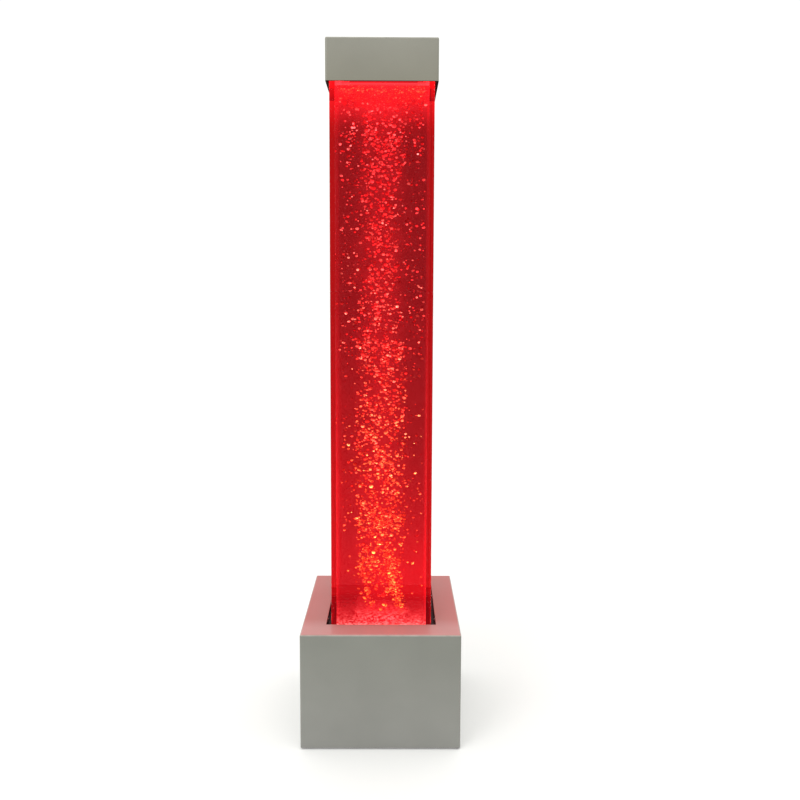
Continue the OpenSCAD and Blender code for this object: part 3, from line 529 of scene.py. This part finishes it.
# Clear water: perfectly smooth and clear, with a soft red light in it that drifts in clouds of 140 mm.
lit_water, tree, output, place = blank("water_lit_by_red_lamps")
spot = put(tree, "SeparateXYZ", {0: place})
light = red_light(tree, spot.outputs[2], water_light, WATER_GLOW)
drift = put(tree, "TexNoise", {"Vector": place, "Scale": 7.0, "Detail": 2.0})
painted_shading = put(tree, "MapRange", {0: drift.outputs[0], 1: 0.3, 2: 0.7, 3: 0.8, 4: 1.2})
# The light leans to the right at the bottom and to the left at half height, and is even further up.
lean = put(tree, "MapRange", {0: spot.outputs[2], 1: 0.30, 2: 0.48, 3: 5.0, 4: -2.4})
even = put(tree, "MapRange", {0: spot.outputs[2], 1: 0.60, 2: 0.85, 3: 1.0, 4: 0.2})
leaning = put(tree, "Math", {0: lean.outputs[0], 1: even.outputs[0]}, operation="MULTIPLY")
sideways = put(
    tree,
    "Math",
    {0: leaning.outputs[0], 1: spot.outputs[0], 2: painted_shading.outputs[0]},
    operation="MULTIPLY_ADD",
)
uneven = put(tree, "VectorMath", {0: light, "Scale": sideways.outputs[0]}, operation="SCALE")
# The plume scatters light towards the eye, so the water reads brighter in front of it.
aside = off_axis(tree, spot, "MINIMUM")
wander = put(tree, "TexNoise", {"Vector": place, "Scale": 24.0, "Detail": 3.0})
ragged = put(tree, "Math", {0: wander.outputs[0], 1: 0.07, 2: aside.outputs[0]}, operation="MULTIPLY_ADD")
haze = put(tree, "MapRange", {0: ragged.outputs[0], 1: 0.090, 2: 0.046})
haze_red = linear("#6e090e")[:3]
haze_light = put(tree, "VectorMath", {0: haze_red, "Scale": haze.outputs[0]}, operation="SCALE")
face_light = put(tree, "VectorMath", {0: uneven.outputs[0], 1: haze_light.outputs[0]}, operation="ADD")
water_face = put(
    tree,
    "BsdfPrincipled",
    {
        "Base Color": linear("#ffffff"),
        "Roughness": 0.0,
        "IOR": 1.33,
        "Specular Tint": linear("#201818"),
        "Transmission Weight": 1.0,
        "Emission Color": face_light.outputs[0],
        "Emission Strength": 1.0,
    },
)
body = put(tree, "VolumeAbsorption", {"Color": (0.60, 0.03, 0.09, 1), "Density": 25.0})
tree.links.new(water_face.outputs[0], output.inputs["Surface"])
tree.links.new(body.outputs[0], output.inputs["Volume"])

# It wets the sand-blasted floor, so it reaches half a millimetre into it. Its mean level is lower than
# its highest place by the room for its ripples, which are 14 mm and 6 mm from crest to crest.
WETTING = 0.0005
RIPPLE_ROOM = 0.003
RIPPLE_HEIGHT = 0.0022
SURFACE_CUTS = 44

bm = bmesh.new()
bmesh.ops.create_cube(bm, size=1)
rise = WATER_TOP - RIPPLE_ROOM - WATER_BOTTOM + WETTING
bmesh.ops.scale(bm, vec=(2 * WATER_HALF, 2 * WATER_HALF, rise), verts=bm.verts)
bmesh.ops.translate(bm, vec=(0, 0, WATER_BOTTOM - WETTING + rise / 2), verts=bm.verts)
surface = max(bm.faces, key=lambda f: f.calc_center_median().z)
bmesh.ops.subdivide_edges(bm, edges=surface.edges[:], cuts=SURFACE_CUTS, use_grid_fill=True)
for v in bm.verts:
    if v.co.z > 1 and max(abs(v.co.x), abs(v.co.y)) < WATER_HALF - 0.0005:
        v.co.z += RIPPLE_HEIGHT * (noise.noise(v.co * 70) + 0.4 * noise.noise(v.co * 160))
water = made_into_piece(bm, "water_body", lit_water)
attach(water, "lamp")
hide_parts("water")


# ---- Bubbles ----
# Air leaves the round chamber on the tank's floor as small, slightly flattened bubbles, which rise in one
# wavering plume and spread out under the surface. Lit from below, they glint from yellow near the lamps
# to pink.

PLUME_FOOT = 0.2375
PLUME_HEAD = 1.2825


def plume(share):
    """The plume's middle and half width, at a share of its rise. These follow the bubbles' CAD node."""
    marks = [
        (0.00, -0.003, 0.050),
        (0.35, -0.004, 0.054),
        (0.47, 0.002, 0.052),
        (0.56, -0.012, 0.050),
        (0.66, 0.000, 0.034),
        (0.79, -0.010, 0.036),
        (0.91, 0.005, 0.047),
        (1.00, 0.000, 0.070),
    ]
    for (s0, x0, w0), (s1, x1, w1) in zip(marks, marks[1:]):
        if share <= s1:
            t = (share - s0) / (s1 - s0)
            return x0 + t * (x1 - x0), w0 + t * (w1 - w0)
    return marks[-1][1:]


# The skin of a bubble under water is a small curved mirror: it shows the lamps below as a bright spot,
# and its upper side stays darker. Its brightness and hue change from one bubble to the next.
bubble_skin, tree, output, place = blank("bubble_skin_catching_lamp_light")
spot = put(tree, "SeparateXYZ", {0: place})
pink = red_light(
    tree,
    spot.outputs[2],
    [(0.24, "#ff8040"), (0.6, "#ff6a54"), (0.85, "#ff484a"), (1.23, "#f83c42"), (1.275, "#d02c20")],
    1.0,
)
warm = red_light(
    tree,
    spot.outputs[2],
    [(0.24, "#fff060"), (0.6, "#ffdc80"), (0.8, "#ffb090"), (1.23, "#ff9090"), (1.275, "#d85830")],
    1.0,
)
each = put(tree, "TexVoronoi", {"Vector": place, "Scale": 140.0})
lot = put(tree, "SeparateColor", {0: each.outputs["Color"]})
odd = put(tree, "MapRange", {0: lot.outputs[0], 1: 0.35, 2: 0.95})
colour = put(tree, "Mix", {0: odd.outputs[0], 6: pink, 7: warm}, data_type="RGBA")
normal = put(tree, "SeparateXYZ", {0: put(tree, "NewGeometry", {}).outputs["Normal"]})
below = put(tree, "MapRange", {0: normal.outputs[2], 1: 0.8, 2: -0.5, 3: 0.05, 4: 1.0})
spark = put(tree, "MapRange", {0: lot.outputs[1], 1: 0.25, 2: 1.0, 3: 0.6, 4: 6.5})
low_down = put(tree, "MapRange", {0: spot.outputs[2], 1: 0.55, 2: 0.9, 3: 1.7, 4: 0.85})
power = put(tree, "Math", {0: below.outputs[0], 1: spark.outputs[0]}, operation="MULTIPLY")
strength = put(tree, "Math", {0: power.outputs[0], 1: low_down.outputs[0]}, operation="MULTIPLY")
glint = put(tree, "VectorMath", {0: colour.outputs[2], "Scale": strength.outputs[0]}, operation="SCALE")
skin = put(
    tree,
    "BsdfPrincipled",
    {
        "Base Color": linear("#e05048"),
        "Roughness": 0.25,
        "Emission Color": glint.outputs[0],
        "Emission Strength": 1.0,
    },
)
tree.links.new(skin.outputs[0], output.inputs["Surface"])


def add_bubble(bm, chance, at, radius, facets):
    """One bubble: flattened a little by its rise and tilted as it wobbles."""
    wobble = Euler((chance.uniform(-0.5, 0.5), chance.uniform(-0.6, 0.6), chance.uniform(0, 6.28)))
    widths = chance.uniform(0.9, 1.25), chance.uniform(0.8, 1.15), chance.uniform(0.65, 1.0)
    flat = Matrix.Diagonal((*widths, 1))
    place = Matrix.Translation(at) @ wobble.to_matrix().to_4x4() @ flat
    bmesh.ops.create_icosphere(bm, subdivisions=facets, radius=radius, matrix=place)


def finished_bubbles(bm, name):
    """Turns a bmesh of bubbles into a smooth piece that rides with the tank."""
    for face in bm.faces:
        face.smooth = True
    piece = made_into_piece(bm, name, bubble_skin)
    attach(piece, "lamp")
    return piece


# The largest bubbles are those of the CAD node: one every 3 mm up the plume, turning round its middle.
# Their turns and distances follow two fractions that never fall into step, as in that node.
BUBBLE_STEP = 0.003
BUBBLE_RADIUS = 0.004
TURN_STEP = 0.7549
FAR_STEP = 0.5698

chance = random.Random(10)
bm = bmesh.new()
large_count = int((PLUME_HEAD - PLUME_FOOT) / BUBBLE_STEP)
for i in range(large_count):
    share = (i + 0.5) / large_count
    middle, half = plume(share)
    turn = 2 * math.pi * (TURN_STEP * i % 1)
    far = half * math.sqrt(0.04 + 0.96 * (FAR_STEP * i % 1))
    z = PLUME_FOOT + share * (PLUME_HEAD - PLUME_FOOT)
    at = (middle + far * math.cos(turn), far * math.sin(turn), z)
    add_bubble(bm, chance, at, BUBBLE_RADIUS * (1 - 0.15 * (i % 3)), 2)
large_bubbles = finished_bubbles(bm, "large_bubbles")
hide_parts("bubbles")


# Stray bubbles keep 6 mm off the walls.
STRAY_HALF = 0.084


def fine_radius(chance, least, most):
    """The radius of a fine bubble. Small ones are more common than large ones."""
    return least + (most - least) * chance.random() ** 2


def bubbles(name, seed, count, low, high, sizes, stray):
    """A stretch of the plume: count bubbles between two heights, a share of them stray across the tank.
    The others travel in clumps a few centimetres long, with clearer water between."""
    chance = random.Random(seed)
    bm = bmesh.new()
    made = 0
    while made < count:
        z = chance.uniform(low, high)
        middle, half = plume((z - PLUME_FOOT) / (PLUME_HEAD - PLUME_FOOT))
        if chance.random() < stray:
            x, y = chance.uniform(-STRAY_HALF, STRAY_HALF), chance.uniform(-STRAY_HALF, STRAY_HALF)
        else:
            turn, far = chance.uniform(0, 2 * math.pi), half * math.sqrt(chance.random())
            x, y = middle + far * math.cos(turn), far * math.sin(turn)
            crowd = noise.noise(Vector((x * 45, y * 45, z * 26 + seed)))
            if chance.random() > 0.45 + 1.9 * crowd:
                continue
        add_bubble(bm, chance, (x, y, z), fine_radius(chance, *sizes), 1)
        made += 1
    finished_bubbles(bm, name)


bubbles("plume_bottom", 11, 620, 0.275, 0.44, (0.0010, 0.0030), 0.04)
bubbles("plume_lower", 12, 1500, 0.40, 0.80, (0.0010, 0.0034), 0.14)
bubbles("plume_upper", 13, 1500, 0.76, 1.21, (0.0012, 0.0037), 0.34)
bubbles("plume_head", 14, 380, 1.17, 1.272, (0.0014, 0.0038), 0.5)


def strand(name, seed, count, way, half):
    """Bubbles that rise from one patch of fine holes, along a way of places from low to high. half is
    how far they spread from it, and a way ends just short of its last place."""
    chance = random.Random(seed)
    bm = bmesh.new()
    for _ in range(count):
        along = chance.uniform(0, len(way) - 1.001)
        middle = Vector(way[int(along)]).lerp(Vector(way[int(along) + 1]), along % 1)
        turn, far = chance.uniform(0, 2 * math.pi), half * chance.random()
        at = middle + Vector((far * math.cos(turn), far * math.sin(turn), 0))
        add_bubble(bm, chance, at, fine_radius(chance, 0.0011, 0.0033), 1)
    finished_bubbles(bm, name)


right_way = ((0.040, -0.01, 0.236), (0.030, -0.01, 0.27), (0.018, 0, 0.31), (0.012, 0, 0.36))
strand("strand_right", 16, 190, right_way, 0.013)
left_way = ((-0.020, 0, 0.236), (-0.032, -0.01, 0.28), (-0.044, 0, 0.32), (-0.030, 0, 0.37))
strand("strand_left", 17, 90, left_way, 0.012)

# Froth lies flat under the surface, over the whole width of the tank.
FROTH_COUNT = 560
FROTH_HALF = 0.086
FROTH_LOW = 1.2775
FROTH_HIGH = 1.2830

chance = random.Random(15)
bm = bmesh.new()
for _ in range(FROTH_COUNT):
    x, y = chance.uniform(-FROTH_HALF, FROTH_HALF), chance.uniform(-FROTH_HALF, FROTH_HALF)
    at = (x, y, chance.uniform(FROTH_LOW, FROTH_HIGH))
    add_bubble(bm, chance, at, fine_radius(chance, 0.0010, 0.0034), 1)
finished_bubbles(bm, "surface_froth")


# ---- Water and air fittings, hoses and non-return valve ----
# White nylon bulkhead fittings pass through the tank's floor, sealed by silicone rings and drawn down by
# nuts. Clear soft hoses run from them to the drain tap, and through a blue and white valve to the pump.

# Moulded nylon: ivory white, waxy and very slightly cloudy.
nylon = plain_finish("moulded_white_nylon", "#d4d1c2", "#e6e3d6", 3, (0.4, 0.5), bump=0.05)
dress(nylon, "bulkhead_fittings", "bulkhead_nuts", "drain_elbow", "drain_valve_body", "drain_spigot")
dress(nylon, "pump_arm", "pump_valve_box")
# Moulded silicone: pale grey with a soft, dull sheen.
dress(plain_finish("grey_silicone_rubber", "#9aa0a4", "#adb2b5", 2, (0.5, 0.6)), "bulkhead_seals")
# Soft clear vinyl hose: milky and glossy, with faint drawn lines along it.
hose = plain_finish("milky_vinyl_hose", "#c6cccf", "#d6dbdd", 6, (0.2, 0.3), bump=0.02, coat=0.3)
dress(hose, "air_hoses", "drain_hose")
# Moulded valve styrene: plain white with a light gloss. The disc is a little warmer and duller.
dress(plain_finish("moulded_white_styrene", "#dadada", "#ececea", 2, (0.35, 0.45)), "check_valve_body")
dress(plain_finish("moulded_white_polypropylene", "#d6d6d4", "#eaeae8", 2, (0.4, 0.5)), "check_valve_poppet")
# Moulded blue styrene: a mid blue with a light gloss over a faint 1.5 mm pebble.
blue = plain_finish("moulded_blue_styrene", "#1d5e9c", "#2a70b0", 1.5, (0.35, 0.5), bump=0.15)
dress(blue, "check_valve_cap", "pump_lid")


# ---- Air pump ----
# A small humming pump: a laminated iron core and a copper coil draw a magnet on a swinging arm, which
# works a rubber cup against the valve box. It sits in a black moulded case with a blue lid.

# Moulded black styrene: fine 1 mm spark texture, with a low sheen that is a little greyer when handled.
black_case = plain_finish("spark_textured_black_styrene", "#131314", "#1f1f20", 1, (0.45, 0.62), bump=0.25)
dress(black_case, "pump_case", "control_case", "control_lid", "service_bay", "switch_body", "dc_jack")
# Laminated iron: dark oiled sheets 0.5 mm thick, drawn at 1 mm across the stack.
iron = plain_finish(
    "oiled_laminated_iron", "#2c2a28", "#4a4744", 1, (0.35, 0.55), metal=1.0, stretch=(0.05, 0.05, 1)
)
dress(iron, "pump_core")
# Enamelled copper wire of 0.3 mm, drawn at 0.8 mm round the coil.
copper = plain_finish(
    "enamelled_copper_wire", "#7c2f12", "#c0602c", 0.8, (0.2, 0.35), metal=1.0, stretch=(0.1, 0.1, 1)
)
dress(copper, "pump_coil")
# Sintered ferrite: charcoal grey and matt, with a fine gritty face.
dress(plain_finish("sintered_ferrite", "#222225", "#323236", 1, (0.55, 0.7)), "pump_magnet")

# The diaphragm is a bellows-shaped cup of moulded rubber, matt and nearly black. It reaches from the valve
# box to the arm's stud. On the pump it folds and stretches as the arm swings; this piece is built in one
# fixed shape.
CUP_FOOT = Vector((-0.034, -0.030, 0.042))
# The cup's outline in mm, as distance from its axis and from the valve box. It follows the CAD node.
CUP_OUTLINE_MM = [
    (0, 11.8), (5, 11.8), (7, 9), (6.2, 7), (9, 4.5), (8.4, 2.2), (11, 2),
    (11, 0), (8, 0), (6.6, 2.2), (7, 4), (4.6, 6.6), (5.2, 8.6), (4, 10), (0, 10),
]
bm = bmesh.new()
outline = [bm.verts.new(CUP_FOOT + Vector((along, 0, out)) / 1000) for out, along in CUP_OUTLINE_MM]
edges = [bm.edges.new(pair) for pair in zip(outline, outline[1:])]
bmesh.ops.spin(
    bm,
    geom=outline + edges,
    cent=CUP_FOOT,
    axis=(1, 0, 0),
    angle=2 * math.pi,
    steps=48,
    use_merge=True,
)
bmesh.ops.remove_doubles(bm, verts=bm.verts, dist=1e-6)
bmesh.ops.recalc_face_normals(bm, faces=bm.faces)
cup_rubber = plain_finish("moulded_diaphragm_rubber", "#121214", "#1d1d20", 1, (0.6, 0.75))
cup = made_into_piece(bm, "pump_cup", cup_rubber)
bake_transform(cup)
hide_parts("pump_diaphragm")


# ---- Drain tap ----
# The tap's nickel-plated brass ball turns with a moulded red lever pinned to its stem. The lever sits in
# the service bay at the back of the box.

# Nickel plate: bright and nearly mirror-smooth, with a slightly warm grey tone.
dress(plain_finish("nickel_plated_brass", "#b9bcc0", "#d4d5d4", 1, (0.12, 0.22), metal=1.0), "drain_ball")
# Glossy red nylon: smooth, with flow marks about 10 mm long from the gate.
gloss_red = plain_finish(
    "glossy_red_nylon", "#8c1016", "#ab161d", 4, (0.22, 0.32), bump=0.03, stretch=(0.4, 1, 1)
)
dress(gloss_red, "drain_lever", "power_rocker")


# ---- Light board ----
# An aluminium tray under the platform holds a white circuit board with rows of red light chips, behind an
# opal cover. Four small screws hold the tray up.

# Brushed aluminium sheet: grey with 25 mm long brush lines across the tray, drawn 1 mm apart.
brushed = plain_finish(
    "brushed_folded_aluminium", "#909395", "#b4b6b7", 1, (0.3, 0.42), metal=1.0, stretch=(0.04, 1, 1)
)
dress(brushed, "led_tray")
# White solder resist: a thin glossy film over the board's faint weave.
dress(plain_finish("white_solder_resist", "#dedfd8", "#eeeee8", 3, (0.3, 0.4), coat=0.2), "led_board")
# A chip's yellow phosphor window with its die glowing red under it.
dress(lit_acrylic("glowing_light_chips", "#ff3020", "#ff8040", 1.5, 6.0), "led_chips")


# ---- Switch, button and power inlet ----
# The rocker switch, the light button and the inlet for the adapter's plug sit on the bay's wall. The
# button is a black cap in a plated ring.

# Satin nickel: a soft grey gleam with 0.6 mm marks.
dress(plain_finish("satin_nickel_ring", "#a4a8ab", "#c8cacb", 0.6, (0.25, 0.36), metal=1.0), "button_body")
# Matt black nylon: a dull cap, slightly polished by fingers.
dress(plain_finish("matt_black_button_cap", "#161617", "#242425", 1, (0.55, 0.68)), "mode_button")


# ---- Control box and leads ----
# The control board hides in its own small case beside the pump, with white leads to the lights, the
# pump, the switch, the button and the inlet.

# Green solder resist: a deep, glossy green film, lighter over the copper.
dress(plain_finish("green_solder_resist", "#0f4a22", "#1a6a34", 2, (0.25, 0.4), coat=0.3), "control_board")
# White vinyl sheath: off-white with a soft sheen, and slightly rippled by the wires in it.
dress(plain_finish("white_vinyl_lead_sheath", "#c4c4c0", "#dcdcd8", 1.5, (0.4, 0.55)), "leads")


# ---- Cap seats ----
# Four machined white acetal seats are glued into the corners of the cap. They stand on the tank's rim and
# keep the cap level and central.

# Machined acetal: chalky white, with the cutter's marks drawn at 2 mm.
acetal = plain_finish("machined_white_acetal", "#cfcfc8", "#e2e2dc", 2, (0.4, 0.55), stretch=(1, 0.2, 1))
dress(acetal, "cap_seats")
